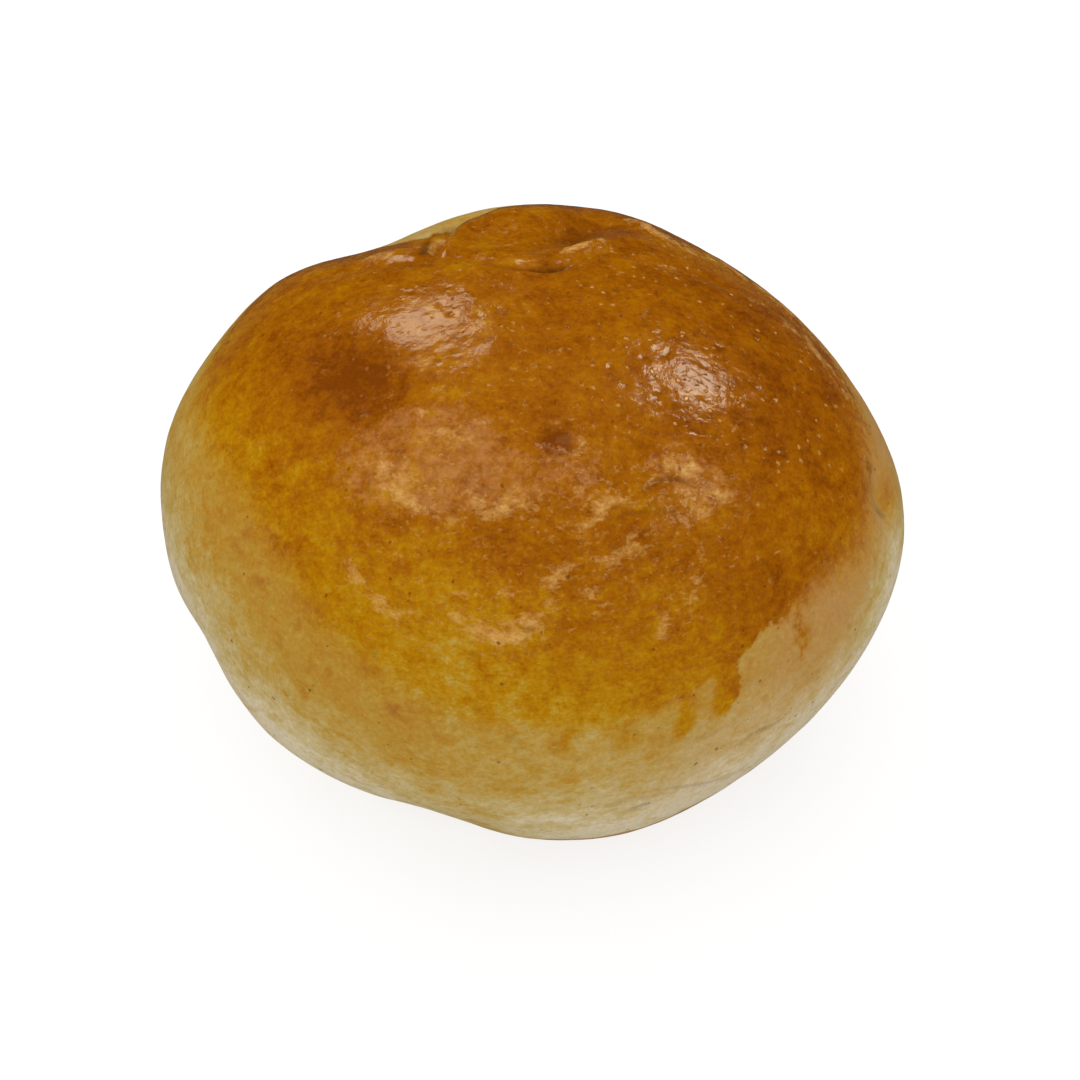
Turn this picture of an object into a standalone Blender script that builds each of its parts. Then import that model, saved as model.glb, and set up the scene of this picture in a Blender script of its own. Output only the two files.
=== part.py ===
"""A glazed brioche bun, whole and uncut, standing on its flat base.

Metres, +Z up, front towards -Y. The origin is the middle of the base. The bun is one body of dough, so it
is one solid. Its form is worked out as a distance from a point inside it, the core: a round superellipsoid
first, then the waves of its plan, then the swells and dents of the dough, then the folds at the back of the
crown. Below, sizes are in millimetres and angles in degrees, and MM turns them into metres.
"""

import bmesh
import bpy
import numpy as np

MM = 0.001

# The dome.
MEAN_RADIUS = 47.5  # of the plan, at the widest height
WIDEST_HEIGHT = 24.0  # of the core above the base, where the bun is widest
CROWN_RISE = 33.0  # from the core to the top
BELLY_DROP = 33.5  # the dough would sag this far below the core if nothing held it up
BELLY_TILT = 0.18  # share by which that changes round the bun,
BELLY_AZIMUTH = -50.0  # with the fullest side here
CROWN_FULLNESS = 2.25  # exponent of the upper outline: 2 is an ellipse, more is squarer
BELLY_FULLNESS = 1.95
BASE_EDGE = 3.0  # how softly the side turns into the flat base

# Waves round the plan: how many, their share of the radius, and the azimuth of a crest.
PLAN_WAVES = ((2, 0.018, -15.0), (3, 0.006, 75.0), (4, 0.020, -9.0))

# Swells and dents: azimuth, angle above the core's level, reach and rise. A dent's rise is negative.
SWELLS = (
    (125, 32, 9, -1.3),  # notch where the folds run out, back left
    (145, 28, 10, 1.2),  # shoulder beside it
    (92, 33, 12, 0.4),  # rear lobe
    (70, 31, 7, 0.6),  # its right end
    (12, 17, 10, -0.3),  # flat of the right shoulder
    (-8, 5, 10, 0.7),  # fullest point of the right side
    (-33, -13, 9, -0.3),  # flat under it
    (-70, -27, 12, 1.0),  # foot of the dough at the front
    (-106, -23, 8, -1.7),  # tuck where the foot starts
    (-136, -14, 10, 1.2),  # corner of the left side, low down
    (-170, 0, 10, -0.3),  # flat of the left side
    (-156, -7, 6, -0.8),  # hollow below it
    (-164, 51, 5, -0.7),  # finger dent on the crown, left
    (-146, 53, 4, -0.6),  # its twin
    (-82, 56, 1.8, -0.5),  # small pit on the crown, front
    (-15, 15, 2.6, -1.1),  # dimple in the right side
    (-13, 18, 2.0, -0.6),  # its upper end
)

# Folds, seen from above: half-width, then points x, y and depth. A ridge's depth is negative.
FOLDS = (
    # the long crease across the crown, faint at first and then a slit
    (1.3, ((-29, 16, 0.1), (-22, 15.6, 0.3), (-16, 15.2, 0.35), (-10, 14.4, 0.35), (-6, 13.6, 0.4),
           (-2.5, 12.6, 0.5), (0, 11.6, 0.8), (2.5, 11.3, 1.0), (4.6, 12.2, 0.8), (6.5, 13.9, 0.5),
           (9, 15.8, 0.4), (13, 19, 0.2))),
    # the sunk strip behind it
    (5.0, ((-12, 20, 0.3), (-7, 20, 0.6), (-1, 19, 0.8), (4, 20, 1.2), (7, 24, 1.4), (10, 28, 1.0))),
    # the hollow at the end of that strip
    (2.4, ((4, 21, 0.6), (6.5, 24.5, 1.2), (9.5, 29, 0.8))),
    # the groove along the edge of the rear lobe
    (1.0, ((-14.4, 13.5, 0.3), (-12.9, 16.5, 1.0), (-11.6, 21, 1.1), (-10.4, 25, 0.9), (-8.8, 27.8, 0.6),
           (-5.5, 29.5, 0.2))),
    # the lip right of that groove
    (1.3, ((-11.2, 15.2, -0.4), (-10, 18.5, -1.0), (-8.8, 22, -0.9), (-7.2, 25, -0.4))),
    # the bulge left of it
    (2.0, ((-22, 18, -0.2), (-18.5, 18, -0.5), (-15.5, 17.5, -0.3))),
    # the rear lobe's crest
    (4.0, ((-7, 27, -0.4), (-2, 27, -0.9), (3, 28.5, -0.8))),
    # the fold right of the slit
    (2.0, ((5.4, 16, -0.3), (8, 18, -0.7), (10.8, 19.8, -0.7), (14, 21.5, -0.3))),
    # the lip right of the hollow
    (1.8, ((12.5, 31, -0.5), (15, 29, -0.7), (18, 26, -0.4))),
    # a thin crack over the right shoulder
    (0.9, ((13, 16, 0.2), (17.5, 14.5, 0.5), (21.5, 15, 0.4), (26, 13, 0.2))),
)
STROKE_STEPS = 6  # points added between two points of a fold, to round its course

# The mesh.
CELLS = 25  # along each side of each face of the cube that the bun is made from
CROWDING = 0.16  # how far the cells are drawn up towards the crown
FOLD_ZONE = (-18.0, 16.0, 6.0, 33.0)  # x from, x to, y from, y to: cells are halved here

CRUST_COLOUR = (0.36, 0.135, 0.012, 1.0)
CRUST_ROUGHNESS = 0.35


def direction(azimuth, rise):
    """Unit vector at an azimuth from +X and an angle above the level."""
    around, up = np.radians(azimuth), np.radians(rise)
    return np.array([np.cos(around) * np.cos(up), np.sin(around) * np.cos(up), np.sin(up)])


def plain_dome(directions):
    """Distance from the core to the skin of a plain dome, in each unit direction."""
    azimuth = np.arctan2(directions[:, 1], directions[:, 0])
    plan = MEAN_RADIUS * (1 + sum(size * np.cos(count * (azimuth - np.radians(crest)))
                                  for count, size, crest in PLAN_WAVES))
    belly = BELLY_DROP * (1 + BELLY_TILT * np.cos(azimuth - np.radians(BELLY_AZIMUTH)))
    above = directions[:, 2] > 0
    height = np.where(above, CROWN_RISE, belly)
    fullness = np.where(above, CROWN_FULLNESS, BELLY_FULLNESS)
    level = np.hypot(directions[:, 0], directions[:, 1])
    share = (level / plan) ** fullness + (np.abs(directions[:, 2]) / height) ** fullness
    return share ** (-1 / fullness)


def swelling(skin):
    """How far the swells and dents push out the skin, at each of its points."""
    push = np.zeros(len(skin))
    for azimuth, rise, reach, height in SWELLS:
        aim = direction(azimuth, rise)
        centre = aim * plain_dome(aim[None])[0]
        away = np.linalg.norm(skin - centre, axis=1)
        push += height * np.exp(-((away / reach) ** 2))
    return push


def rounded_course(points):
    """A fold's points with more between them, on a Catmull-Rom curve through them all."""
    points = np.array(points, float)
    padded = np.vstack([2 * points[0] - points[1], points, 2 * points[-1] - points[-2]])
    course = []
    for before, start, end, after in zip(padded, padded[1:], padded[2:], padded[3:]):
        for t in np.arange(STROKE_STEPS) / STROKE_STEPS:
            course.append(0.5 * (2 * start + (end - before) * t
                                 + (2 * before - 5 * start + 4 * end - after) * t**2
                                 + (3 * start - before - 3 * end + after) * t**3))
    course.append(points[-1])
    return np.array(course)


def folding(skin):
    """How far the folds sink the skin, at each of its points. Only the upper side has folds."""
    sink = np.zeros(len(skin))
    for half_width, points in FOLDS:
        course = rounded_course(points)
        nearest = np.full(len(skin), np.inf)
        depth = np.zeros(len(skin))
        for start, end in zip(course, course[1:]):
            run = end[:2] - start[:2]
            along = np.clip((skin[:, :2] - start[:2]) @ run / (run @ run), 0, 1)
            away = np.linalg.norm(skin[:, :2] - start[:2] - along[:, None] * run, axis=1)
            depth = np.where(away < nearest, start[2] + along * (end[2] - start[2]), depth)
            nearest = np.minimum(nearest, away)
        sink += depth * np.exp(-((nearest / half_width) ** 2))
    return np.where(skin[:, 2] > 0, sink, 0)


def set_down(height):
    """Heights above the table after the dough is set down: what would go through it lies flat on it."""
    near = np.clip(BASE_EDGE - np.abs(height), 0, None)
    return np.maximum(height, 0) + near**2 / (4 * BASE_EDGE)


def bun_form(directions):
    """The bun's skin in each unit direction from the core, in millimetres above its base."""
    reach = plain_dome(directions)
    skin = directions * reach[:, None]
    formed = directions * (reach + swelling(skin) - folding(skin))[:, None]
    formed[:, 2] = set_down(formed[:, 2] + WIDEST_HEIGHT)
    return formed


def dough_directions(cube_points):
    """Unit directions for the points of a cube of side 2, evened out and then drawn up to the crown."""
    evened = np.tan(cube_points * np.pi / 4)
    evened /= np.linalg.norm(evened, axis=1, keepdims=True)
    evened[:, 2] += CROWDING
    return evened / np.linalg.norm(evened, axis=1, keepdims=True)


def in_fold_zone(cube_point):
    x, y, z = bun_form(dough_directions(np.array([cube_point])))[0]
    left, right, front, back = FOLD_ZONE
    return z > WIDEST_HEIGHT and left < x < right and front < y < back


def dough_mesh(name):
    """A cube cut into cells, finer at the folds, with each point moved out to the bun's skin."""
    bm = bmesh.new()
    bmesh.ops.create_cube(bm, size=2)
    bmesh.ops.subdivide_edges(bm, edges=bm.edges, cuts=CELLS - 1, use_grid_fill=True)
    folded = [f for f in bm.faces if in_fold_zone(f.calc_center_median())]
    edges = list({e for f in folded for e in f.edges})
    bmesh.ops.subdivide_edges(bm, edges=edges, cuts=1, use_grid_fill=True)
    points = np.array([v.co for v in bm.verts])
    formed = bun_form(dough_directions(points))
    low, high = formed.min(axis=0), formed.max(axis=0)
    formed[:, :2] -= (low[:2] + high[:2]) / 2
    for vertex, place in zip(bm.verts, formed * MM):
        vertex.co = place
    bmesh.ops.triangulate(bm, faces=bm.faces)
    bmesh.ops.recalc_face_normals(bm, faces=bm.faces)
    mesh = bpy.data.meshes.new(name)
    bm.to_mesh(mesh)
    bm.free()
    mesh.shade_smooth()
    return mesh


def crust_material():
    crust = bpy.data.materials.new("crust")
    crust.use_nodes = True
    surface = crust.node_tree.nodes["Principled BSDF"]
    surface.inputs["Base Color"].default_value = CRUST_COLOUR
    surface.inputs["Roughness"].default_value = CRUST_ROUGHNESS
    surface.inputs["Metallic"].default_value = 0.0
    return crust


def clear_scene():
    for thing in list(bpy.data.objects):
        bpy.data.objects.remove(thing)


def main():
    clear_scene()
    bakery = bpy.data.collections.new("brioche_bun")
    bpy.context.scene.collection.children.link(bakery)
    bun = bpy.data.objects.new("bun", dough_mesh("bun"))
    bun.data.materials.append(crust_material())
    bakery.objects.link(bun)


main()
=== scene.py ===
"""The looks of a glazed brioche bun.

The bun's skin is one closed mesh. Its form is that of the CAD solid, worked out from the same named values,
with the fine relief of a baked crust on top: cracks, wrinkles, pores and ripples. Fields, worked out for
each point of the skin, say where the egg wash lies, how far the crust is baked, where it is chafed or
creased, and where highlights of the glaze and shade in cracks and pores are painted on, and one material
turns them into colour, gloss and grain. Sizes are in millimetres and angles in degrees.
"""

import bmesh
import bpy
import numpy as np
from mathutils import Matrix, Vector, noise


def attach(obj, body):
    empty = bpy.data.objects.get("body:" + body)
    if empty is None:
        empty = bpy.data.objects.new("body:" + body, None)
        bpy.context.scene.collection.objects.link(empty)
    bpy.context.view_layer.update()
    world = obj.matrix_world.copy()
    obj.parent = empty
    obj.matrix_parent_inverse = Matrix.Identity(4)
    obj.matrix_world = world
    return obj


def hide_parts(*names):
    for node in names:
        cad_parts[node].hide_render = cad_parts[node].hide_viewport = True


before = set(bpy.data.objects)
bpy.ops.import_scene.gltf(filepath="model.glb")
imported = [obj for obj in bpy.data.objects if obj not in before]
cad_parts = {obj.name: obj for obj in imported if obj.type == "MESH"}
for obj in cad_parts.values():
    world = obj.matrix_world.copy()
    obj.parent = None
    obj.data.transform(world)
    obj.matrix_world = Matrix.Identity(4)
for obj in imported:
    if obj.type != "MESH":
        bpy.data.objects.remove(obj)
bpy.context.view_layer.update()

MM = 0.001

# ---- The form, as in the solid ------------------------------------------------------------------------

MEAN_RADIUS = 47.5  # of the plan, at the widest height
WIDEST_HEIGHT = 24.0  # of the core above the base, where the bun is widest
CROWN_RISE = 33.0  # from the core to the top
BELLY_DROP = 33.5  # the dough would sag this far below the core if nothing held it up
BELLY_TILT = 0.18  # share by which that changes round the bun,
BELLY_AZIMUTH = -50.0  # with the fullest side here
CROWN_FULLNESS = 2.25  # exponent of the upper outline: 2 is an ellipse, more is squarer
BELLY_FULLNESS = 1.95
BASE_EDGE = 3.0  # how softly the side turns into the flat base

# Waves round the plan: how many, their share of the radius, and the azimuth of a crest.
PLAN_WAVES = ((2, 0.018, -15.0), (3, 0.006, 75.0), (4, 0.020, -9.0))

# Swells and dents: azimuth, angle above the core's level, reach and rise. A dent's rise is negative.
SWELLS = (
    (125, 32, 9, -1.3),  # notch where the folds run out, back left
    (145, 28, 10, 1.2),  # shoulder beside it
    (92, 33, 12, 0.4),  # rear lobe
    (70, 31, 7, 0.6),  # its right end
    (12, 17, 10, -0.3),  # flat of the right shoulder
    (-8, 5, 10, 0.7),  # fullest point of the right side
    (-33, -13, 9, -0.3),  # flat under it
    (-70, -27, 12, 1.0),  # foot of the dough at the front
    (-106, -23, 8, -1.7),  # tuck where the foot starts
    (-136, -14, 10, 1.2),  # corner of the left side, low down
    (-170, 0, 10, -0.3),  # flat of the left side
    (-156, -7, 6, -0.8),  # hollow below it
    (-164, 51, 5, -0.7),  # finger dent on the crown, left
    (-146, 53, 4, -0.6),  # its twin
    (-82, 56, 1.8, -0.5),  # small pit on the crown, front
    (-15, 15, 2.6, -1.1),  # dimple in the right side
    (-13, 18, 2.0, -0.6),  # its upper end
)

# Folds, seen from above: half-width, then points x, y and depth. A ridge's depth is negative.
FOLDS = (
    # the long crease across the crown, faint at first and then a slit
    (1.3, ((-29, 16, 0.1), (-22, 15.6, 0.3), (-16, 15.2, 0.35), (-10, 14.4, 0.35), (-6, 13.6, 0.4),
           (-2.5, 12.6, 0.5), (0, 11.6, 0.8), (2.5, 11.3, 1.0), (4.6, 12.2, 0.8), (6.5, 13.9, 0.5),
           (9, 15.8, 0.4), (13, 19, 0.2))),
    # the sunk strip behind it
    (5.0, ((-12, 20, 0.3), (-7, 20, 0.6), (-1, 19, 0.8), (4, 20, 1.2), (7, 24, 1.4), (10, 28, 1.0))),
    # the hollow at the end of that strip
    (2.4, ((4, 21, 0.6), (6.5, 24.5, 1.2), (9.5, 29, 0.8))),
    # the groove along the edge of the rear lobe
    (1.0, ((-14.4, 13.5, 0.3), (-12.9, 16.5, 1.0), (-11.6, 21, 1.1), (-10.4, 25, 0.9), (-8.8, 27.8, 0.6),
           (-5.5, 29.5, 0.2))),
    # the lip right of that groove
    (1.3, ((-11.2, 15.2, -0.4), (-10, 18.5, -1.0), (-8.8, 22, -0.9), (-7.2, 25, -0.4))),
    # the bulge left of it
    (2.0, ((-22, 18, -0.2), (-18.5, 18, -0.5), (-15.5, 17.5, -0.3))),
    # the rear lobe's crest
    (4.0, ((-7, 27, -0.4), (-2, 27, -0.9), (3, 28.5, -0.8))),
    # the fold right of the slit
    (2.0, ((5.4, 16, -0.3), (8, 18, -0.7), (10.8, 19.8, -0.7), (14, 21.5, -0.3))),
    # the lip right of the hollow
    (1.8, ((12.5, 31, -0.5), (15, 29, -0.7), (18, 26, -0.4))),
    # a thin crack over the right shoulder
    (0.9, ((13, 16, 0.2), (17.5, 14.5, 0.5), (21.5, 15, 0.4), (26, 13, 0.2))),
)
STROKE_STEPS = 6  # points added between two points of a fold, to round its course

# ---- The fine relief ----------------------------------------------------------------------------------

CELLS = 125  # along each side of each face of the cube that the skin is made from
CROWDING = 0.30  # how far the cells are drawn up towards the crown

# Thin cracks and seams: half-width, then points azimuth, angle above the core and depth.
CRACKS = (
    # a bow on the right of the crown
    (0.35, ((-63, 43, 0.05), (-60, 43.5, 0.15), (-56, 43.5, 0.2), (-53, 42.5, 0.2), (-50, 40, 0.05))),
    # a hairline that goes on from it
    (0.30, ((-72, 40, 0.05), (-67, 40.5, 0.12), (-61, 39, 0.12), (-56, 38.5, 0.05))),
    # two seams in the pale skin, low on the right
    (0.40, ((-70, -7.5, 0.03), (-66, -9, 0.16), (-60, -12, 0.18), (-53, -14, 0.05))),
    (0.35, ((-57, -4, 0.03), (-53, -3, 0.19), (-49, -3.5, 0.17), (-46, -2, 0.03))),
    # a nick near the base
    (0.45, ((-74, -12, 0.1), (-72.5, -11.7, 0.5), (-71, -11.5, 0.2))),
    # the lip over the dimple in the side
    (0.5, ((-15, 17.4, 0.05), (-16, 15.6, 0.45), (-15.8, 13.6, 0.35), (-15, 12.4, 0.05))),
    (0.4, ((-11.6, 21.6, 0.05), (-12.2, 20.4, 0.35), (-13.2, 19.2, 0.1))),
    # the edge of the brown skin at the back
    (0.45, ((122, 45, 0.1), (118, 46, 0.3), (112, 44.5, 0.35), (105, 43, 0.3), (98, 41.5, 0.1))),
    # the bottom of the slit in the long crease
    (0.45, ((104, 70.5, 0.05), (92, 70.8, 0.35), (78, 70.2, 0.6), (70, 68.6, 0.4), (65, 66, 0.1))),
    # the start of the groove by the rear lobe
    (0.45, ((131, 54, 0.05), (127, 52.5, 0.35), (123, 49.5, 0.35), (120, 47, 0.1))),
    # fine cracks low on the right and at the front
    (0.3, ((-66, 2.5, 0.03), (-63, 1.8, 0.10), (-59, 2.2, 0.03))),
    (0.3, ((-56, 8.5, 0.03), (-53, 7.5, 0.10), (-50, 8.2, 0.03))),
    (0.35, ((-84, -7, 0.03), (-79, -8.2, 0.10), (-73, -8.4, 0.10), (-68, -10, 0.03))),
)

# Chafed wrinkles, where the skin puckered and the glaze is dull, and painted glints and sheen of the
# glaze in the same pale colour: half-width, then points azimuth, angle above the core and strength.
CHAFES_AND_GLINTS = (
    (1.0, ((-124, 29.5, 0.5), (-120, 27, 0.9), (-114, 25, 0.8), (-110, 25, 0.3))),
    (0.9, ((-112, 23, 0.3), (-108, 22, 0.6), (-105, 21, 0.3))),
    (1.4, ((-105, 27.5, 0.5), (-98, 25, 1.3), (-92, 24.5, 1.5), (-88, 27, 1.2), (-86, 29.5, 0.5))),
    (1.3, ((-82, 33, 0.3), (-76, 34, 0.5), (-70, 35, 0.9), (-65, 37, 0.6))),
    (1.1, ((-82, 40, 0.5), (-76, 41, 1.0), (-70, 43, 0.9), (-66, 44, 0.4))),
    (1.2, ((-89, 32, 0.4), (-85, 32.5, 0.8), (-82, 33, 0.3))),
    (1.0, ((-69, 21, 0.4), (-67, 22.5, 0.9), (-65, 24, 0.5))),
    (1.1, ((-63, 24, 0.4), (-60, 27, 0.8), (-56, 30, 0.5))),
    (1.3, ((-104, 44, 0.5), (-99, 43.5, 0.9), (-92, 44, 0.9), (-87, 45, 0.4))),
    (1.8, ((-57, 46.5, 0.4), (-52, 45, 0.9), (-47, 41, 1.0), (-46, 36, 0.6))),
    # painted highlight on the right rim of the small pit
    (0.7, ((-75, 58.5, 0.3), (-72, 57, 1.0), (-72.5, 54.5, 0.9), (-76, 53, 0.5))),
    (0.9, ((-96, 30, 0.2), (-91, 30.5, 0.6), (-87, 32, 0.3))),
    (0.9, ((-82, 30, 0.2), (-77, 31, 0.6), (-73, 32, 0.2))),
    # on the crown's front
    (1.6, ((-130, 45, 0.5), (-123, 44, 1.2), (-117, 42, 1.2), (-111, 41, 0.5))),
    (1.5, ((-122, 55, 0.4), (-115, 56, 0.9), (-107, 57, 0.6))),
    (1.3, ((-84, 46, 0.2), (-78, 45, 0.5), (-73, 47, 0.2))),
    # painted sheen: pale streaks along the right shoulder
    (2.4, ((-12, 19, 0.3), (-4, 23, 0.5), (2, 27, 0.9), (8, 30, 1.1), (15, 34, 0.9), (24, 37.5, 0.5))),
    (1.8, ((4, 22, 0.4), (12, 25, 1.0), (22, 28.5, 1.4), (33, 31.5, 1.5), (44, 35, 1.2), (54, 38, 0.5))),
    # painted glints and sheen by the folds
    (1.8, ((141, 43, 0.5), (137, 48, 1.4), (131, 50, 0.6))),
    (1.0, ((125, 53, 0.8), (121, 50, 1.5), (115, 48, 1.3), (109, 46, 0.5))),
    (1.3, ((76, 64.5, 0.5), (72, 61, 1.6), (69, 58.7, 2.2), (63, 55.7, 1.3))),
    (1.4, ((66, 38, 0.8), (58, 40, 1.7), (50, 41, 1.6), (42, 40, 0.8))),
)

RIPPLE_SIZE, RIPPLE_RISE = 8.0, 0.09  # low waves all over the skin
GRAIN_SIZE, GRAIN_RISE = 2.4, 0.028  # finer ones
CRUMPLE_SIZE, CRUMPLE_RISE = 3.6, 0.26  # of the folded skin at the back of the crown
WRINKLE_LENGTH, WRINKLE_WIDTH, WRINKLE_RISE = 5.5, 1.9, 0.06  # folds of the skin round the crown's front
WRINKLE_BENDS = 7.0  # size of the waves that bend them
WRINKLE_SHARPNESS = 2.5  # of their ridges
CHAFE_RISE = 0.12  # of the skin that is chafed
CHAFE_PATCH = 2.4  # size of the patches that it comes in
# The strongest chafing and painted glints, and the strength above which they stop being patchy.
CHAFE_LIMIT = 2.2  # the strongest chafing,
CHAFE_SOLID = 1.2  # which gets less and less patchy above this

# Where the skin is wrinkled: azimuth, angle above the core, reach and strength.
WRINKLED = (
    (-112, 34, 13, 0.9),
    (-88, 33, 13, 1.0),
    (-62, 36, 12, 0.8),
    (-120, 48, 9, 0.5),
    (-75, 50, 8, 0.4),
    (-60, 20, 9, 0.3),
    (-84, -6, 11, 0.5),
    (-104, -3, 10, 0.4),
    (-60, -3, 10, 0.4),
)

# Where a painted highlight covers it: a pale, ragged film that stands for the lamps mirrored in the glaze.
PAINTED_HIGHLIGHT_PATCHES = (
    (-132, 45, 4.5, 0.8),
    (-125, 48, 6, 1.2),
    (-116, 55, 4.5, 0.8),
    (-108, 49, 6, 0.9),
    (-95, 47, 4, 0.4),
    (-84, 51, 3.5, 0.3),
    (-76, 49, 4.5, 0.7),
    (-52, 45, 3.5, 0.9),
    (-47, 39, 3.5, 0.9),
)

# Where it is crumpled by the folds.
CRUMPLED = (
    (118, 51, 6, 1.0),
    (95, 56, 9, 0.4),
    (66, 55, 6, 0.9),
    (138, 47, 6, 0.6),
    (58, 40, 7, 0.7),
)

# Crowds of pores: azimuth, angle above the core, reach, how many, and the deepest.
PORE_CROWDS = (
    (10, 58, 15, 170, 0.16),
    (-16, 44, 13, 170, 0.16),
    (28, 42, 12, 110, 0.15),
    (-40, 52, 9, 60, 0.12),
    (-45, 33, 12, 60, 0.12),
    (150, 64, 9, 45, 0.10),
    (120, 60, 12, 50, 0.12),
    (-140, 45, 16, 45, 0.10),
    (-95, 40, 16, 60, 0.10),
    (180, 30, 20, 30, 0.08),
    (90, 20, 20, 40, 0.08),
    (-20, 5, 18, 30, 0.08),
    (-100, -5, 20, 30, 0.08),
)
CROWD_SPREAD = 1.6  # a crowd's reach is this many standard deviations
BLISTERS = 0.35  # share of them that stand up instead,
BLISTER_RISE = 0.7  # and how far, against a pore's depth
PORE_RADII = (0.32, 0.75)
PORE_RIM = 0.5  # of its depth
PORE_SEED = 11

# Where the skin is dense with pinholes: azimuth, angle above the core, reach and strength.
PORED = (
    (10, 60, 15, 0.9),
    (-16, 44, 14, 1.0),
    (28, 40, 14, 0.8),
    (-40, 55, 10, 0.5),
    (-50, 30, 14, 0.3),
    (160, 68, 12, 0.8),
    (-95, 40, 18, 0.25),
    (90, 30, 25, 0.3),
)

# ---- The egg wash and the bake ------------------------------------------------------------------------

# The lower edge of the egg wash: azimuth, angle above the core, and the onset, which is how far inside it
# the crust is fully baked.
WASH_LINE = (
    (-180, 20, 6.0),
    (-165, 22, 6.0),
    (-152, 22, 7.0),
    (-135, 19, 7.0),
    (-124, 13, 8.0),
    (-103, 7, 7.0),
    (-90, 7, 5.0),
    (-80, 5.5, 5.0),
    (-70, 7, 4.0),
    (-63, 9.5, 2.5),
    (-58, 12, 0.9),
    (-53, 14.5, 0.8),
    (-49, 15.5, 1.0),
    (-45, 14, 2.0),
    (-40, 13.5, 5.0),
    (-35, 11.5, 7.0),
    (-30, 8, 10.0),
    (-24, 9, 10.0),
    (-17, 14, 8.0),
    (-8, 16.5, 8.0),
    (6, 20, 6.0),
    (24, 24, 4.0),
    (40, 24, 3.0),
    (66, 24, 2.0),
    (84, 33, 1.5),
    (98, 41, 0.8),
    (105, 43, 0.7),
    (112, 44.5, 0.7),
    (120, 45.5, 0.7),
    (126, 42, 0.8),
    (130, 34, 1.5),
    (145, 26, 3.0),
    (160, 22, 5.0),
    (180, 20, 6.0),
)
BARE_SPREAD = 22.0  # below that edge, the dough is palest this far down

# The brown of the base: azimuth, and how high above the table it reaches.
BASE_LINE = ((-180, 2.0), (-100, 2.0), (-88, 4.5), (-66, 7.0), (-40, 8.5), (-22, 3.0), (180, 2.0))

# Runs of egg wash below that edge: azimuth, half-width and length.
WASH_RUNS = (
    (-43.5, 2.4, 5.2),
    (-59.2, 2.3, 5.8),
    (-66.0, 2.9, 5.0),
    (-75.0, 2.8, 3.4),
    (-84.0, 3.0, 2.8),
    (22, 2.0, 5.0),
    (47, 1.5, 6.0),
    (56, 1.1, 3.5),
    (74, 2.4, 5.0),
)

# The scale of baking runs from 0, palest dough, to 1, darkest crust.
EDGE_BAKE = 0.40  # at the edge of the egg wash
BAKE_LEVEL = 0.78  # on the crown
BAKE_SLOPE = 0.0022  # more for each millimetre to the right
# Where the crust is darker or paler than that: azimuth, angle above the core, reach and change.
BAKE_PATCHES = (
    (-166, 51, 6, 0.17),  # finger dents
    (-147, 53, 5, 0.19),
    (-159, 46, 6, 0.09),
    (-162, 50, 11, 0.06),
    (165, 45, 13, 0.10),
    (-80, 76, 8, 0.08),  # top of the crown
    (-12, 36, 13, 0.07),  # right of the crown
    (30, 50, 10, 0.08),
    (38, 37, 9, -0.12),
    (62, 36, 8, -0.08),
    (-28, 17, 8, -0.10),
    (-12, 24, 7, -0.10),
    (-26, 28, 7, -0.06),
    (-37, 20, 5, -0.05),
    (-50, 42, 7, -0.05),
    (-118, 34, 8, 0.06),
    (-50, 50, 12, 0.03),
    (-80.5, 55.5, 1.7, 0.42),  # small pit
    (-112, 14, 14, -0.17),  # gold front
    (-92, 10, 12, -0.20),
    (-76, 8, 9, -0.14),
    (-62, 12, 8, -0.16),
    (-104, 26, 7, -0.04),
    (-95, 25, 8, -0.06),
    (-127, 28, 8, -0.04),
    (-160, 32, 14, -0.08),  # amber left
    (-85, 36, 9, 0.03),
    (-72, 32, 9, -0.04),
    (-58, 26, 9, -0.02),
    (72, 48, 6, 0.10),  # hollow in the folds
    (66, 42, 7, 0.08),
    (95, 43, 4, -0.10),  # crest of the rear lobe
    (-44, 10, 4, -0.08),  # runs of egg wash
    (-60, 6, 5, -0.08),
)
# Where the bare dough is browner or paler than its distance from that edge says.
BARE_PATCHES = (
    (-13.5, 14.5, 2.4, 0.10),  # in the dimple
    (-10.5, 15.5, 3.2, 0.18),
    (-20, 4, 9, -0.24),
    (-30, -2, 7, -0.10),
    (-39, 14, 6, 0.09),
    (-156, 23, 8, 0.08),
    (-142, 22, 8, 0.08),
    (128, 42, 10, -0.08),
    (-52, 3, 11, 0.05),
    (-37, 7, 9, 0.03),
    (-142, 1, 7, 0.10),
    (-58, -8, 9, -0.05),
    # painted shade in the tuck at the front foot
    (-98, -21, 9, 0.24),
    (-118, 12, 9, 0.07),
    (-133, 8, 9, 0.08),
    (-104, 9, 8, 0.05),
    (-116, -4, 8, 0.04),
)
# Where the bare dough is tanned: azimuth, angle above the core, reach and strength.
TANNED = (
    (-30, 16, 8, 1.0),
    (-14, 18, 8, 1.2),
    (-45, 11, 7, 0.5),
    (-52, 2, 9, 0.35),
    (-36, 6, 9, 0.4),
    (-66, -3, 9, 0.25),
    (6, 18, 10, 1.0),
    (24, 22, 10, 0.8),
    (-19, 3, 9, -0.7),
    (-13.5, 14.5, 2.2, -0.9),
    (-10.5, 16, 3, -0.6),
)
# Cracks, folds and pores are darkened by their depth: painted shade, with some brown of egg wash gathered
# in cracks.
# Depths from which a crack and a pore are fully dark.
CRACK_DARK, PORE_DARK = 0.26, 0.12
FOLD_DARK, FOLD_SHADE = 1.4, 0.5  # depth from which a fold darkens, and how much for each millimetre more


def direction(azimuth, rise):
    """Unit vector at an azimuth from +X and an angle above the level."""
    around, up = np.radians(azimuth), np.radians(rise)
    return np.array([np.cos(around) * np.cos(up), np.sin(around) * np.cos(up), np.sin(up)])


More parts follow.
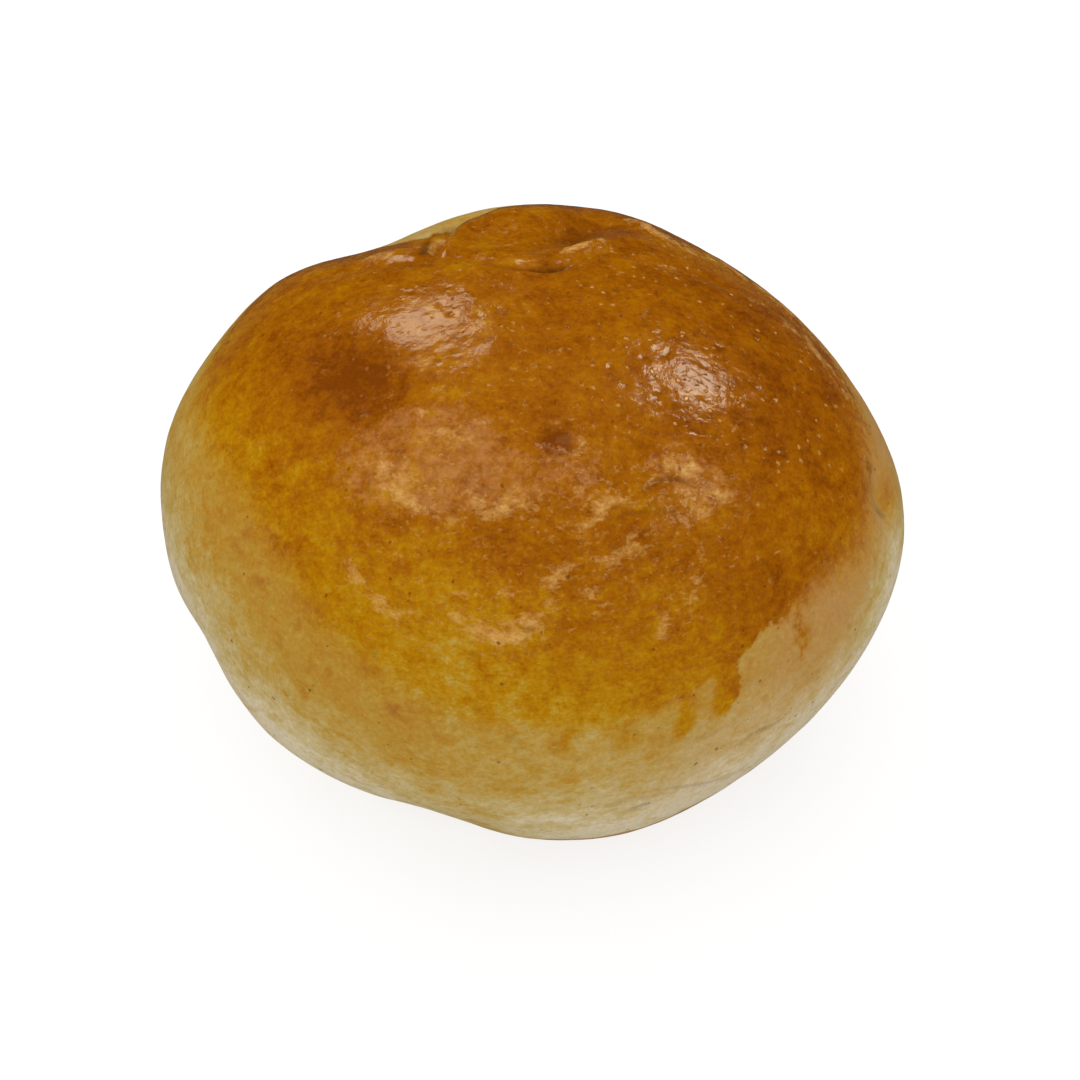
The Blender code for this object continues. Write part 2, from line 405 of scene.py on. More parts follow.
def plain_dome(directions):
    """Distance from the core to the skin of a plain dome, in each unit direction."""
    azimuth = np.arctan2(directions[:, 1], directions[:, 0])
    plan = MEAN_RADIUS * (1 + sum(size * np.cos(count * (azimuth - np.radians(crest)))
                                  for count, size, crest in PLAN_WAVES))
    belly = BELLY_DROP * (1 + BELLY_TILT * np.cos(azimuth - np.radians(BELLY_AZIMUTH)))
    above = directions[:, 2] > 0
    height = np.where(above, CROWN_RISE, belly)
    fullness = np.where(above, CROWN_FULLNESS, BELLY_FULLNESS)
    level = np.hypot(directions[:, 0], directions[:, 1])
    share = (level / plan) ** fullness + (np.abs(directions[:, 2]) / height) ** fullness
    return share ** (-1 / fullness)


def on_dome(azimuth, rise):
    """The point of the plain dome in that direction from the core."""
    aim = direction(azimuth, rise)
    return aim * plain_dome(aim[None])[0]


def patchwork(skin, patches):
    """The sum of soft round patches: azimuth, angle above the core, reach and strength."""
    total = np.zeros(len(skin))
    for azimuth, rise, reach, strength in patches:
        away = np.linalg.norm(skin - on_dome(azimuth, rise), axis=1)
        total += strength * np.exp(-((away / reach) ** 2))
    return total


def rounded_course(points):
    """A fold's points with more between them, on a Catmull-Rom curve through them all."""
    points = np.array(points, float)
    padded = np.vstack([2 * points[0] - points[1], points, 2 * points[-1] - points[-2]])
    course = []
    for before, start, end, after in zip(padded, padded[1:], padded[2:], padded[3:]):
        for t in np.arange(STROKE_STEPS) / STROKE_STEPS:
            course.append(0.5 * (2 * start + (end - before) * t
                                 + (2 * before - 5 * start + 4 * end - after) * t**2
                                 + (3 * start - before - 3 * end + after) * t**3))
    course.append(points[-1])
    return np.array(course)


def stroke(places, course, half_width):
    """The depth of one stroke at each place. A row of its course is a place and then the depth there."""
    nearest = np.full(len(places), np.inf)
    depth = np.zeros(len(places))
    for start, end in zip(course, course[1:]):
        run = end[:-1] - start[:-1]
        along = np.clip((places - start[:-1]) @ run / (run @ run), 0, 1)
        away = np.linalg.norm(places - start[:-1] - along[:, None] * run, axis=1)
        depth = np.where(away < nearest, start[-1] + along * (end[-1] - start[-1]), depth)
        nearest = np.minimum(nearest, away)
    return depth * np.exp(-((nearest / half_width) ** 2))


def strokes_on_dome(skin, strokes):
    """The sum of strokes over the skin, each given by azimuths, angles above the core and depths."""
    total = np.zeros(len(skin))
    for half_width, points in strokes:
        course = rounded_course([(*on_dome(azimuth, rise), depth) for azimuth, rise, depth in points])
        total += stroke(skin, course, half_width)
    return total


def folding(skin):
    """How far the folds sink the skin, at each of its points. Only the upper side has folds."""
    sink = sum(stroke(skin[:, :2], rounded_course(points), half_width) for half_width, points in FOLDS)
    return np.where(skin[:, 2] > 0, sink, 0)


def set_down(height):
    """Heights above the table after the dough is set down: what would go through it lies flat on it."""
    near = np.clip(BASE_EDGE - np.abs(height), 0, None)
    return np.maximum(height, 0) + near**2 / (4 * BASE_EDGE)


def fractal_waves(places, seed, octaves=3):
    """Smooth uneven waves of about -1 to 1, one long, at each place."""
    shift = Vector((13.7, 7.3, 3.1)) * seed
    return np.array([noise.fractal(Vector(place) + shift, 1.0, 2.0, octaves) for place in places])


def wrinkling(skin, directions):
    """Height of the skin's wrinkles, from -1 to 1. They run round the crown."""
    azimuth = np.arctan2(directions[:, 1], directions[:, 0])
    rise = np.arcsin(directions[:, 2])
    warp = fractal_waves(skin / WRINKLE_BENDS, seed=5, octaves=3)
    places = np.stack([azimuth * MEAN_RADIUS / WRINKLE_LENGTH + warp,
                       rise * MEAN_RADIUS / WRINKLE_WIDTH + 2.0 * warp, warp], axis=1)
    ridges = 1 - WRINKLE_SHARPNESS * np.abs(fractal_waves(places, seed=8, octaves=4))
    return ridges * np.clip(patchwork(skin, WRINKLED), 0, 1)


def chafing_and_glints(skin):
    """How far the skin is chafed, and painted with pale glints, along the strokes: 1 is fully. The
    strongest aren't patchy.
    """
    worn = strokes_on_dome(skin, CHAFES_AND_GLINTS)
    patchy = np.clip(0.85 + 0.8 * fractal_waves(skin / CHAFE_PATCH, seed=9, octaves=3), 0.2, 1.3)
    return np.clip(worn, 0, CHAFE_LIMIT) * np.maximum(patchy, worn - CHAFE_SOLID)


def pore_places():
    """Centre, radius and depth of each pore, drawn from the crowds."""
    draw = np.random.default_rng(PORE_SEED)
    for azimuth, rise, reach, count, deepest in PORE_CROWDS:
        for _ in range(count):
            spot = on_dome(azimuth, rise) + draw.normal(0, reach / CROWD_SPREAD, 3)
            aim = spot / np.linalg.norm(spot)
            radius = draw.uniform(*PORE_RADII) * draw.uniform(0.7, 1.0)
            depth = deepest * draw.uniform(0.3, 1.0) * radius / PORE_RADII[1]
            if draw.random() < BLISTERS:
                depth *= -BLISTER_RISE
            yield aim * plain_dome(aim[None])[0], radius, depth


def pitting(skin):
    """How far the pores sink the skin. Each has a low rim round it."""
    sink = np.zeros(len(skin))
    for centre, radius, depth in pore_places():
        away = np.linalg.norm(skin - centre, axis=1) / radius
        sink += depth * (1 - PORE_RIM * away**2) * np.exp(-(away**2))
    return sink


def wash_depth(skin, directions):
    """How far inside the edge of the egg wash, without its runs and with them, and the onset there."""
    azimuth = np.degrees(np.arctan2(directions[:, 1], directions[:, 0]))
    rise = np.degrees(np.arcsin(directions[:, 2]))
    line = np.array(WASH_LINE, float)
    edge = np.interp(azimuth, line[:, 0], line[:, 1])
    onset = np.interp(azimuth, line[:, 0], line[:, 2])
    reach = np.linalg.norm(skin, axis=1)
    inside = np.radians(rise - edge) * reach
    with_runs = inside
    for run_azimuth, half_width, length in WASH_RUNS:
        across = np.radians(azimuth - run_azimuth) * reach * np.cos(np.radians(rise))
        beyond = inside - np.clip(inside, half_width - length, None)
        with_runs = np.maximum(with_runs, half_width - np.hypot(across, beyond))
    return inside, with_runs, onset


def smooth_step(share):
    share = np.clip(share, 0, 1)
    return share * share * (3 - 2 * share)


def dough_directions(cube_points):
    """Unit directions for the points of a cube of side 2, evened out and then drawn up to the crown."""
    evened = np.tan(cube_points * np.pi / 4)
    evened /= np.linalg.norm(evened, axis=1, keepdims=True)
    evened[:, 2] += CROWDING
    return evened / np.linalg.norm(evened, axis=1, keepdims=True)


def skin_points(directions):
    """Where each point of the skin lies, and the fields that its material reads."""
    plain = plain_dome(directions)
    skin = directions * plain[:, None]
    folds, cracks, pores, chafe_and_glint = folding(skin), strokes_on_dome(skin, CRACKS), pitting(skin), chafing_and_glints(skin)
    form = plain + patchwork(skin, SWELLS) - folds
    pored = np.clip(patchwork(skin, PORED), 0, 1)
    crumple_rise = CRUMPLE_RISE * patchwork(skin, CRUMPLED)
    relief = (RIPPLE_RISE * fractal_waves(skin / RIPPLE_SIZE, seed=1, octaves=2)
              + GRAIN_RISE * (1 + pored) * fractal_waves(skin / GRAIN_SIZE, seed=2, octaves=3)
              + crumple_rise * fractal_waves(skin / CRUMPLE_SIZE, seed=3, octaves=4)
              + WRINKLE_RISE * wrinkling(skin, directions) + CHAFE_RISE * chafe_and_glint - cracks - pores)

    smooth = directions * form[:, None]
    centre = (smooth.min(axis=0) + smooth.max(axis=0))[:2] / 2
    places = directions * (form + relief)[:, None]
    places[:, 2] = set_down(places[:, 2] + WIDEST_HEIGHT)
    places[:, :2] -= centre

    inside, with_runs, onset = wash_depth(skin, directions)
    base_line = np.interp(np.degrees(np.arctan2(skin[:, 1], skin[:, 0])), *zip(*BASE_LINE))
    fields = {
        "wash": with_runs,
        "onset": onset,
        "bare": EDGE_BAKE * smooth_step(1 + inside / BARE_SPREAD) + patchwork(skin, BARE_PATCHES),
        "bake": BAKE_LEVEL + BAKE_SLOPE * skin[:, 0] + patchwork(skin, BAKE_PATCHES),
        "tan": np.clip(patchwork(skin, TANNED), 0, 1),
        "chafe_and_glint": chafe_and_glint,
        "wrinkled": np.clip(patchwork(skin, WRINKLED), 0, 1),
        "foot": places[:, 2] - base_line,
        # painted shade, darker the deeper a crack, fold or pore is, and in cracks also the brown of
        # gathered egg wash
        "crease_and_shade": np.clip(cracks / CRACK_DARK + np.clip(folds - FOLD_DARK, 0, 1) * FOLD_SHADE, 0, 1),
        "pore_shade": np.clip(pores / PORE_DARK, 0, 1),
        "pored": pored,
        "painted_highlight": np.clip(patchwork(skin, PAINTED_HIGHLIGHT_PATCHES), 0, 1),
    }
    return places, fields


def bun_skin():
    """The bun's closed skin, as a cube cut into fine cells with each point moved out to its place."""
    bm = bmesh.new()
    bmesh.ops.create_cube(bm, size=2)
    bmesh.ops.subdivide_edges(bm, edges=bm.edges, cuts=CELLS - 1, use_grid_fill=True)
    places, fields = skin_points(dough_directions(np.array([v.co for v in bm.verts])))
    for vertex, place in zip(bm.verts, places * MM):
        vertex.co = place
    bmesh.ops.recalc_face_normals(bm, faces=bm.faces)
    mesh = bpy.data.meshes.new("glazed_bun")
    bm.to_mesh(mesh)
    bm.free()
    mesh.shade_smooth()
    for name, values in fields.items():
        attribute = mesh.attributes.new(name, "FLOAT", "POINT")
        attribute.data.foreach_set("value", values.astype(np.float32))
    bun = bpy.data.objects.new("glazed_bun", mesh)
    bpy.context.scene.collection.objects.link(bun)
    return bun


# ---- Shader nodes -------------------------------------------------------------------------------------

def add_node(tree, kind, inputs=(), **settings):
    """A new node of that kind. Inputs are pairs of a socket's name or number and a value or a socket."""
    made = tree.nodes.new("ShaderNode" + kind)
    for name, value in settings.items():
        setattr(made, name, value)
    for name, value in inputs:
        if isinstance(value, bpy.types.NodeSocket):
            tree.links.new(value, made.inputs[name])
        else:
            made.inputs[name].default_value = value
    return made


def calc(tree, operation, first, second=0.0, clamp=False):
    """The result of a sum on one or two values."""
    made = add_node(tree, "Math", ((0, first), (1, second)), operation=operation, use_clamp=clamp)
    return made.outputs[0]


def plus_share(tree, start, value, factor):
    """Start, and value times factor on top of it."""
    return calc(tree, "ADD", start, calc(tree, "MULTIPLY", value, factor))


def share_between(tree, value, low, high, most=1.0):
    """0 below low, 1 or the most given above high, and a smooth step between."""
    made = add_node(tree, "MapRange", (("Value", value), ("From Min", low), ("From Max", high),
                                       ("To Max", most)), interpolation_type="SMOOTHSTEP")
    return made.outputs["Result"]


def mix_colour(tree, share, first, second, way="MIX"):
    """First, going over into second by the share."""
    made = tree.nodes.new("ShaderNodeMix")
    made.data_type, made.blend_type = "RGBA", way
    sockets = [s for s in made.inputs if s.enabled]
    for socket, value in zip(sockets, (share, first, second)):
        if isinstance(value, bpy.types.NodeSocket):
            tree.links.new(value, socket)
        else:
            socket.default_value = value
    return next(s for s in made.outputs if s.enabled)


def colour_scale(tree, value, stops):
    """The colour at that value on a scale of stops, each a place and a colour."""
    made = add_node(tree, "ValToRGB", ((0, value),))
    band = made.color_ramp
    while len(band.elements) < len(stops):
        band.elements.new(0.5)
    for element, (place, colour) in zip(band.elements, stops):
        element.position = place
        element.color = colour
    return made.outputs["Color"]


def field(tree, name):
    """A field of the skin's points."""
    return add_node(tree, "Attribute", attribute_name=name).outputs["Fac"]


def mottle(tree, size, seed=0.0, detail=3.0, rough=0.5, flatten=1.0):
    """Cloudy noise of about 0 to 1, in patches of that size in millimetres, made lower by a factor."""
    place = add_node(tree, "TexCoord").outputs["Object"]
    scale = 1 / (size * MM)
    placed = add_node(tree, "Mapping", (("Vector", place), ("Location", (seed, seed * 0.7, seed * 0.3)),
                                        ("Scale", (scale, scale, scale * flatten))))
    clouds = add_node(tree, "TexNoise", (("Vector", placed.outputs[0]), ("Scale", 1.0), ("Detail", detail),
                                         ("Roughness", rough)))
    return clouds.outputs["Fac"]


def wander(tree, size, **clouds):
    """Such noise of about -0.5 to 0.5."""
    return calc(tree, "SUBTRACT", mottle(tree, size, **clouds), 0.5)


def dots(tree, spacing, seed, radius, share, uneven=0.15, soft=0.35):
    """Scattered dots of up to that radius, one in a cell of that spacing, for that share of the cells."""
    place = add_node(tree, "TexCoord").outputs["Object"]
    scale = 1 / (spacing * MM)
    placed = add_node(tree, "Mapping", (("Vector", place), ("Location", (seed, seed * 0.4, seed * 0.9)),
                                        ("Scale", (scale, scale, scale))))
    stir = add_node(tree, "TexNoise", (("Vector", placed.outputs[0]), ("Scale", 4.0), ("Detail", 1.0)))
    stirred = add_node(tree, "VectorMath", ((0, stir.outputs["Color"]), (1, (uneven,) * 3),
                                            (2, placed.outputs[0])), operation="MULTIPLY_ADD")
    cells = add_node(tree, "TexVoronoi", (("Vector", stirred.outputs[0]), ("Scale", 1.0)))
    luck = add_node(tree, "SeparateColor", ((0, cells.outputs["Color"]),))
    size = calc(tree, "MULTIPLY", share_between(tree, luck.outputs[0], 1 - share, 1.0), radius / spacing)
    closeness = calc(tree, "SUBTRACT", size, cells.outputs["Distance"])
    return share_between(tree, closeness, 0.0, soft * radius / spacing)


# ---- The crust ----------------------------------------------------------------------------------------

def rgb(red, green, blue):
    """A colour for a shader, from its values on a screen, 0 to 255."""
    parts = [value / 255 for value in (red, green, blue)]
    return (*[p / 12.92 if p <= 0.04045 else ((p + 0.055) / 1.055) ** 2.4 for p in parts], 1.0)


# Colours of dough and crust on the scale of baking.
BAKE_STOPS = (
    (0.00, rgb(206, 191, 157)),
    (0.12, rgb(196, 174, 121)),
    (0.22, rgb(187, 162, 99)),
    (0.32, rgb(183, 149, 68)),
    (0.42, rgb(179, 136, 31)),
    (0.52, rgb(176, 124, 3)),
    (0.62, rgb(169, 111, 1)),
    (0.74, rgb(157, 92, 1)),
    (0.86, rgb(143, 78, 1)),
    (1.00, rgb(119, 58, 1)),
)
TAN = rgb(181, 132, 68)
BASE_BROWN = rgb(172, 132, 62)
SPECK_BROWN = rgb(108, 58, 10)
BROWN_AND_SHADE = rgb(92, 46, 4)
# pale of chafed skin, also painted on as glints and sheen of the glaze
CHAFED_AND_GLINT_PALE = rgb(212, 160, 84)
# colour of the painted highlight
PAINTED_HIGHLIGHT = rgb(208, 148, 92)

WASH_WANDER = 5.0  # how far the edge of the egg wash wanders,
TANNED_WANDER = 4.5  # and how much farther where the dough is tanned
BASE_WANDER = 5.0  # how far the edge of the base's brown wanders
BASE_FADE = 0.8  # half the height over which that brown fades out
# Clouds and blotches in the bake: size, seed and strength.
BAKE_CLOUDS = ((11.0, 1.0, 0.26), (3.6, 2.0, 0.36), (1.2, 4.0, 0.34), (0.42, 6.0, 0.29))
BAKE_BLOTCHES = ((4.5, 14.0, 0.08), (2.2, 15.0, 0.05))
BARE_CLOUDS = 0.5  # share of the clouds' strength on bare dough
CLOUD_FADE = 1.8  # less the level of baking, this is what the clouds are multiplied by
BLOTCH_FADE = 1.6  # less the share of egg wash, this is how strong the blotches are
MEAN_BLOTCH = 0.02  # what they add on average, taken off again
# The painted highlight: how much its patches add to its noise, where that shows, and its least and further
# strength.
HIGHLIGHT_REACH, HIGHLIGHT_SHOWS, HIGHLIGHT_LEAST, HIGHLIGHT_MORE = 0.42, (0.68, 0.76), 0.02, 0.24
# Chafed skin and painted glints: how much chafing, and wrinkles, add to its noise, and where it shows, and
# how strongly, as flakes, as their paler cores, which are painted glints, and as small flakes.
CHAFE_REACH, WRINKLE_REACH, SMALL_REACH = 0.20, 0.04, 0.07
FLAKES, CORES, SMALL_FLAKES = (0.62, 0.69, 0.40), (0.70, 0.82, 0.46), (0.66, 0.74, 0.34)
# Brown specks: spacing, seed, radius, share of the cells and strength.
SPECKS = ((2.6, 31.0, 0.32, 0.9, 0.7), (1.6, 35.0, 0.22, 0.7, 0.5))
# How dark creases are, with their brown and painted shade, which is twice as much under egg wash, and the
# painted shade in pores and pinholes.
CREASE_SHADE, PORE_SHADE, PINHOLE_SHADE = 0.4, 0.5, 0.55
# How much of the pale colour is painted on the blisters as glints.
BLISTER_GLINT = 0.7
# Heights of the finest relief.
GRAIN_BUMP, PEEL_BUMP, WASH_FILM = 0.012, 0.03, 0.05
FLAKE_BUMP, BLISTER_BUMP, PINHOLE_DEPTH = 0.06, 0.14, 0.05
# Roughness of the glaze, how much it varies, and how much more bare dough and chafed skin have.
GLAZE_ROUGH, GLAZE_VARIES, BARE_ROUGHER, CHAFED_ROUGHER = 0.07, 0.10, 0.40, 0.12


def wash_share(tree):
    """1 where the egg wash is thick, 0 where there is none, with an uneven edge between."""
    ragged = wander(tree, 2.8, seed=3.0, detail=5.0, rough=0.65)
    streaks = wander(tree, 1.2, seed=17.0, detail=3.0, rough=0.6, flatten=0.25)
    tanned = share_between(tree, field(tree, "tan"), 0.4, 1.0, TANNED_WANDER)
    inside = plus_share(tree, plus_share(tree, field(tree, "wash"), ragged, WASH_WANDER), streaks, tanned)
    return share_between(tree, calc(tree, "DIVIDE", inside, field(tree, "onset")), 0.0, 1.0)


def clouded(tree, level, wash):
    """A baking level with the clouds and blotches of a real crust."""
    change = 0.0
    for size, seed, strength in BAKE_CLOUDS:
        change = plus_share(tree, change, wander(tree, size, seed=seed, detail=2.0, flatten=1.4), strength)
    change = calc(tree, "MULTIPLY", change, plus_share(tree, BARE_CLOUDS, wash, 1 - BARE_CLOUDS))
    change = calc(tree, "MULTIPLY", change, calc(tree, "SUBTRACT", CLOUD_FADE, level))
    bareness = calc(tree, "SUBTRACT", BLOTCH_FADE, wash)
    for size, seed, strength in BAKE_BLOTCHES:
        clouds = mottle(tree, size, seed=seed, detail=4.0, rough=0.6, flatten=1.5)
        blotches = share_between(tree, clouds, 0.55, 0.60, strength / BLOTCH_FADE)
        change = plus_share(tree, change, blotches, bareness)
    return calc(tree, "ADD", calc(tree, "SUBTRACT", change, MEAN_BLOTCH), level)


def baked_colour(tree, wash):
    """The colour of dough and crust, by how far each is baked."""
    bare, bake = field(tree, "bare"), field(tree, "bake")
    level = plus_share(tree, bare, calc(tree, "SUBTRACT", bake, bare), wash)
    colour = colour_scale(tree, clouded(tree, level, wash), BAKE_STOPS)
    streaks = calc(tree, "ADD", mottle(tree, 0.9, seed=18.0, detail=3.0, rough=0.6, flatten=0.3), 0.3)
    tanned = calc(tree, "MULTIPLY", field(tree, "tan"), calc(tree, "SUBTRACT", 1.0, wash))
    return mix_colour(tree, calc(tree, "MULTIPLY", tanned, streaks), colour, TAN)


def painted_highlight_share(tree):
    """How much of the painted highlight shows: a ragged, patchy film."""
    ragged = mottle(tree, 2.2, seed=22.0, detail=6.0, rough=0.72, flatten=2.0)
    film = share_between(tree, plus_share(tree, ragged, field(tree, "painted_highlight"), HIGHLIGHT_REACH), *HIGHLIGHT_SHOWS)
    patchy = mottle(tree, 1.5, seed=24.0, detail=6.0, rough=0.75, flatten=1.4)
    patchy = share_between(tree, patchy, 0.42, 0.60, HIGHLIGHT_MORE)
    return calc(tree, "MULTIPLY", film, calc(tree, "ADD", patchy, HIGHLIGHT_LEAST))


def chafed_and_glint_share(tree):
    """How much of the pale colour of chafed skin and painted glints shows."""
    wrinkled = field(tree, "wrinkled")
    worn = mottle(tree, 2.0, seed=22.0, detail=6.0, rough=0.72, flatten=2.4)
    worn = plus_share(tree, worn, field(tree, "chafe_and_glint"), CHAFE_REACH)
    worn = plus_share(tree, worn, wrinkled, WRINKLE_REACH)
    flakes = calc(tree, "ADD", share_between(tree, worn, *FLAKES), share_between(tree, worn, *CORES))
    small = mottle(tree, 0.9, seed=25.0, detail=4.0, rough=0.65, flatten=2.2)
    small = share_between(tree, plus_share(tree, small, wrinkled, SMALL_REACH), *SMALL_FLAKES)
    fine = mottle(tree, 0.6, seed=23.0, detail=4.0, rough=0.65, flatten=1.6)
    shade = calc(tree, "ADD", share_between(tree, fine, 0.34, 0.64, 0.65), 0.35)
    return calc(tree, "MULTIPLY", calc(tree, "MAXIMUM", small, flakes), shade, clamp=True)


def browned_base(tree):
    """1 on the flat base and its edge, fading out just above it."""
    ragged = calc(tree, "MULTIPLY", wander(tree, 5.0, seed=7.0, detail=4.0), BASE_WANDER)
    return share_between(tree, calc(tree, "SUBTRACT", ragged, field(tree, "foot")), -BASE_FADE, BASE_FADE)


def crust_bump(tree, wash, chafed_and_glint, pored, pinholes, blisters):
    """Height of the finest relief, in millimetres."""
    height = calc(tree, "MULTIPLY", mottle(tree, 0.45, seed=11.0, detail=2.0), GRAIN_BUMP)
    peel = mottle(tree, 1.0, seed=12.0, detail=3.0, rough=0.6, flatten=1.4)
    height = plus_share(tree, height, peel, plus_share(tree, PEEL_BUMP, pored, PEEL_BUMP))
    for part, rise in ((wash, WASH_FILM), (chafed_and_glint, FLAKE_BUMP), (blisters, BLISTER_BUMP),
                       (pinholes, -PINHOLE_DEPTH)):
        height = plus_share(tree, height, part, rise)
    return height


def crust_material():
    crust = bpy.data.materials.new("glazed_crust")
    crust.use_nodes = True
    tree = crust.node_tree
    surface = tree.nodes["Principled BSDF"]

    wash, chafed_and_glint = wash_share(tree), chafed_and_glint_share(tree)
    pored = field(tree, "pored")
    pinholes = calc(tree, "MULTIPLY", dots(tree, 1.3, 21.0, 0.34, 0.9, soft=0.6), pored)
    blisters = calc(tree, "MULTIPLY", dots(tree, 1.4, 27.0, 0.42, 1.0, uneven=0.4, soft=0.5), pored)
    shade = plus_share(tree, 1.0, wander(tree, 0.6, seed=41.0, rough=0.65), 0.5)
    colour = mix_colour(tree, 1.0, baked_colour(tree, wash), shade, "MULTIPLY")
    crease_shade = plus_share(tree, CREASE_SHADE, wash, CREASE_SHADE)
    # Over the baked colour go a painted highlight, chafed skin with painted glints, painted glints on the
    # blisters, the base's brown, and brown and painted shade in creases, pores and pinholes.
    for share, over in (
        (painted_highlight_share(tree), PAINTED_HIGHLIGHT),
        (chafed_and_glint, CHAFED_AND_GLINT_PALE),
        (calc(tree, "MULTIPLY", blisters, BLISTER_GLINT), CHAFED_AND_GLINT_PALE),
        (browned_base(tree), BASE_BROWN),
        (calc(tree, "MULTIPLY", field(tree, "crease_and_shade"), crease_shade), BROWN_AND_SHADE),
        (calc(tree, "MULTIPLY", field(tree, "pore_shade"), PORE_SHADE), BROWN_AND_SHADE),
        (calc(tree, "MULTIPLY", pinholes, PINHOLE_SHADE), BROWN_AND_SHADE),
    ):
        colour = mix_colour(tree, share, colour, over)
    for spacing, seed, radius, share, strength in SPECKS:
        specks = dots(tree, spacing, seed, radius, share, uneven=0.2)
        colour = mix_colour(tree, calc(tree, "MULTIPLY", specks, strength), colour, SPECK_BROWN)
    tree.links.new(colour, surface.inputs["Base Color"])

    rough = plus_share(tree, GLAZE_ROUGH, mottle(tree, 2.0, seed=13.0, detail=3.0), GLAZE_VARIES)
    rough = plus_share(tree, rough, calc(tree, "SUBTRACT", 1.0, wash), BARE_ROUGHER)
    rough = plus_share(tree, rough, chafed_and_glint, CHAFED_ROUGHER)
    tree.links.new(rough, surface.inputs["Roughness"])
    surface.inputs["Metallic"].default_value = 0.0
    surface.inputs["Specular IOR Level"].default_value = 0.4

    relief = crust_bump(tree, wash, chafed_and_glint, pored, pinholes, blisters)
    bump = add_node(tree, "Bump", (("Height", relief), ("Distance", MM), ("Strength", 1.0)))
    tree.links.new(bump.outputs["Normal"], surface.inputs["Normal"])
    return crust


# ---- The floor, the light and the camera --------------------------------------------------------------

FLOOR_SIZE = 6.0  # metres
FLOOR_WHITE, FLOOR_GLOW = (0.22, 0.22, 0.22, 1.0), 0.80  # a light table

CAMERA_TARGET = Vector((1.4, -10.15, 28.0)) * MM
CAMERA_ELEVATION = 44.0
CAMERA_DISTANCE = 0.300  # metres
CAMERA_LENS = 77.0

WARM_WHITE = (1.0, 0.91, 0.70)
WARM = (1.0, 0.84, 0.48)
# Windows that show in the glaze: the direction to each, the place that it shines on, its width and height
# in metres, brightness and colour.
WINDOWS = (
    ("window_left", (-0.235, 0.765, 0.62), (-14.8, 2.2, 56.4), 0.23, 0.18, 4.9, WARM_WHITE),
    ("window_right", (0.40, 0.57, 0.70), (20.5, -7.5, 54.5), 0.19, 0.16, 9.4, WARM_WHITE),
    ("skylight", (-0.30, 0.18, 0.94), (-11.0, -22.5, 53.3), 0.45, 0.28, 0.8, WARM),
    ("lamp_right", (0.60, -0.02, 0.80), (22.4, -25.4, 49.2), 0.13, 0.15, 5.0, WARM),
)
WINDOW_DISTANCE = 0.9  # metres
# Soft light that the glaze doesn't mirror: the direction to it, strength, angle across and colour.
SOFT_SUNS = (
    ("key", (-0.25, 0.45, 0.85), 0.8, 60, (1.0, 0.98, 0.95)),
    ("overhead", (0.1, -0.3, 0.95), 0.5, 120, (1.0, 1.0, 1.0)),
)
ROOM_LIGHT = 0.82
MIRRORED_FLOOR, MIRRORED_BEHIND = 0.015, 0.02  # what the glaze mirrors below the horizon, and more behind


def floor():
    bm = bmesh.new()
    bmesh.ops.create_grid(bm, x_segments=1, y_segments=1, size=FLOOR_SIZE / 2)
    mesh = bpy.data.meshes.new("floor")
    bm.to_mesh(mesh)
    bm.free()
    plane = bpy.data.objects.new("floor", mesh)
    bpy.context.scene.collection.objects.link(plane)
    paper = bpy.data.materials.new("pale_floor")
    paper.use_nodes = True
    surface = paper.node_tree.nodes["Principled BSDF"]
    surface.inputs["Base Color"].default_value = FLOOR_WHITE
    surface.inputs["Roughness"].default_value = 0.9
    surface.inputs["Specular IOR Level"].default_value = 0.1
    surface.inputs["Emission Color"].default_value = (1.0, 1.0, 1.0, 1.0)
    surface.inputs["Emission Strength"].default_value = FLOOR_GLOW
    mesh.materials.append(paper)
    plane.visible_glossy = False


def turn_from(thing, towards):
    """Turns a light or camera so that it looks the other way from that direction."""
    thing.rotation_mode = "QUATERNION"
    thing.rotation_quaternion = Vector(towards).to_track_quat("Z", "Y")


def window(name, towards, shines_on, width, height, brightness, colour):
    """A lit rectangle that the glaze mirrors, at its place beyond the point that it shines on."""
    light = bpy.data.lights.new(name, "AREA")
    light.shape = "RECTANGLE"
    light.size, light.size_y = width, height
    light.energy = brightness * np.pi * width * height
    light.color = colour
    lamp = bpy.data.objects.new(name, light)
    bpy.context.scene.collection.objects.link(lamp)
    lamp.location = Vector(shines_on) * MM + Vector(towards).normalized() * WINDOW_DISTANCE
    turn_from(lamp, towards)
    lamp.visible_diffuse = False


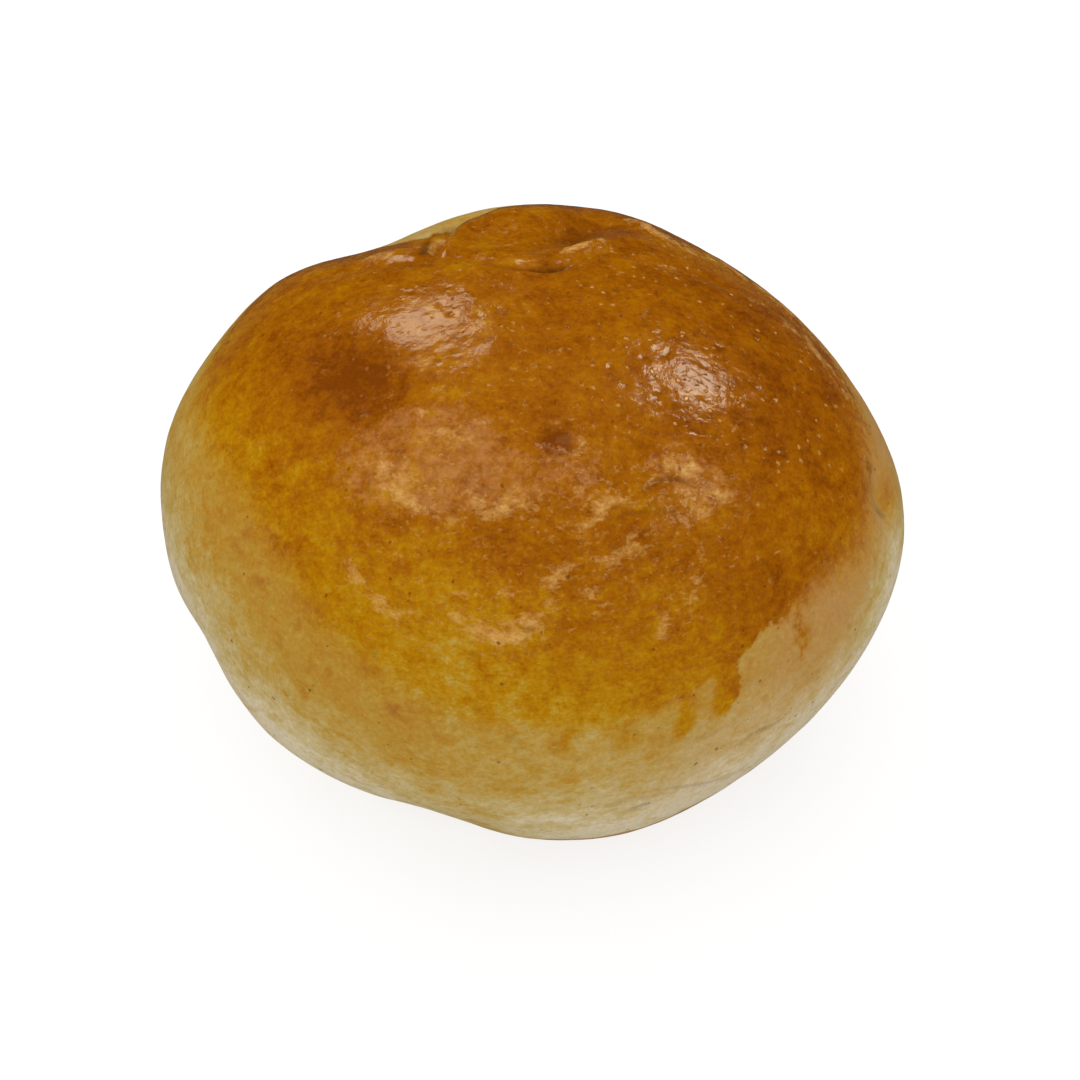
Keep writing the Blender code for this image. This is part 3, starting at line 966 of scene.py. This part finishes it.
def soft_sun(name, towards, strength, angle, colour):
    """Even light from one side of the room."""
    light = bpy.data.lights.new(name, "SUN")
    light.energy = strength
    light.angle = np.radians(angle)
    light.color = colour
    lamp = bpy.data.objects.new(name, light)
    bpy.context.scene.collection.objects.link(lamp)
    turn_from(lamp, towards)
    lamp.visible_glossy = False


def room_light():
    """Pale light from all round: white to the camera, soft on the bun, dim where the glaze mirrors it."""
    room = bpy.data.worlds.new("room")
    bpy.context.scene.world = room
    room.use_nodes = True
    tree = room.node_tree
    background = tree.nodes["Background"]
    path = add_node(tree, "LightPath")
    looked = add_node(tree, "SeparateXYZ", ((0, add_node(tree, "TexCoord").outputs["Generated"]),))
    below = share_between(tree, calc(tree, "MULTIPLY", looked.outputs["Z"], -1.0), -0.15, 0.15)
    behind = share_between(tree, looked.outputs["Y"], 0.0, 0.6, MIRRORED_BEHIND)
    mirrored = calc(tree, "MULTIPLY", below, calc(tree, "ADD", behind, MIRRORED_FLOOR))
    strength = plus_share(tree, ROOM_LIGHT, path.outputs["Is Glossy Ray"],
                          calc(tree, "SUBTRACT", mirrored, ROOM_LIGHT))
    strength = plus_share(tree, strength, path.outputs["Is Camera Ray"], 1.0 - ROOM_LIGHT)
    tree.links.new(strength, background.inputs["Strength"])
    background.inputs["Color"].default_value = (1.0, 1.0, 1.0, 1.0)


def camera():
    lens = bpy.data.cameras.new("camera")
    lens.lens = CAMERA_LENS
    lens.sensor_width = 36.0
    lens.clip_start = 0.01
    viewer = bpy.data.objects.new("camera", lens)
    bpy.context.scene.collection.objects.link(viewer)
    up = np.radians(CAMERA_ELEVATION)
    back = Vector((0.0, -np.cos(up), np.sin(up)))
    viewer.location = CAMERA_TARGET + back * CAMERA_DISTANCE
    turn_from(viewer, back)
    bpy.context.scene.camera = viewer


def main():
    camera()
    floor()
    room_light()
    for values in WINDOWS:
        window(*values)
    for values in SOFT_SUNS:
        soft_sun(*values)

    bun = bun_skin()
    bun.data.materials.append(crust_material())
    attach(bun, "root")
    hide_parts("bun")
    bpy.context.scene.view_settings.view_transform = "Standard"


main()
